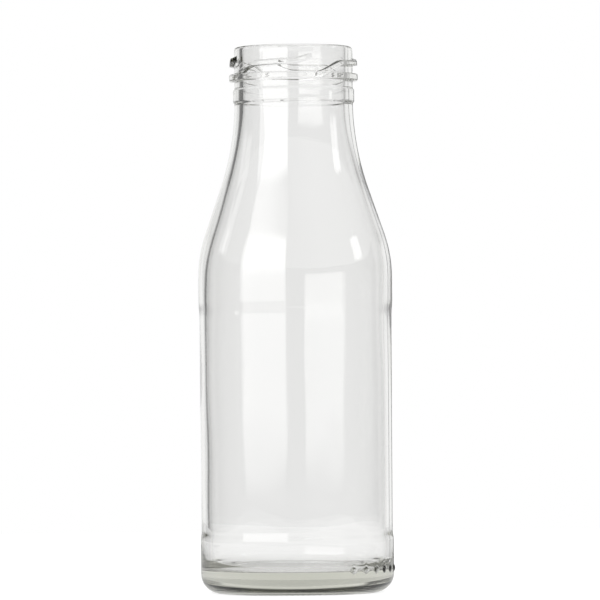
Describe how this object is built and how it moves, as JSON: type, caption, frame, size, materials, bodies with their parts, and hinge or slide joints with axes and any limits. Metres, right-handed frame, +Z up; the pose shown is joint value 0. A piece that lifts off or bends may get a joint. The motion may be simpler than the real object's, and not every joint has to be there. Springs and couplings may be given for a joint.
{
  "type": "glass milk bottle",
  "caption": "Clear glass milk bottle with a wide twist-off finish, a slim neck, an S-curved shoulder and a shallow label panel; stands on its base ring.",
  "frame": {"origin": "centre of the standing ring, on the surface that the bottle stands on", "axes": "+Z up along the bottle's axis, towards the mouth; -Y is the front, where one lug rib ends 20 degrees to the right; +X is to the right as seen from the front"},
  "size_m": [0.0578, 0.0578, 0.1626],
  "materials": {
    "flint_glass": "clear gloss, with a faint grey-green tint in the thick base"
  },
  "bodies": {
    "root": {"bottle": "flint_glass"}
  },
  "joints": []
}
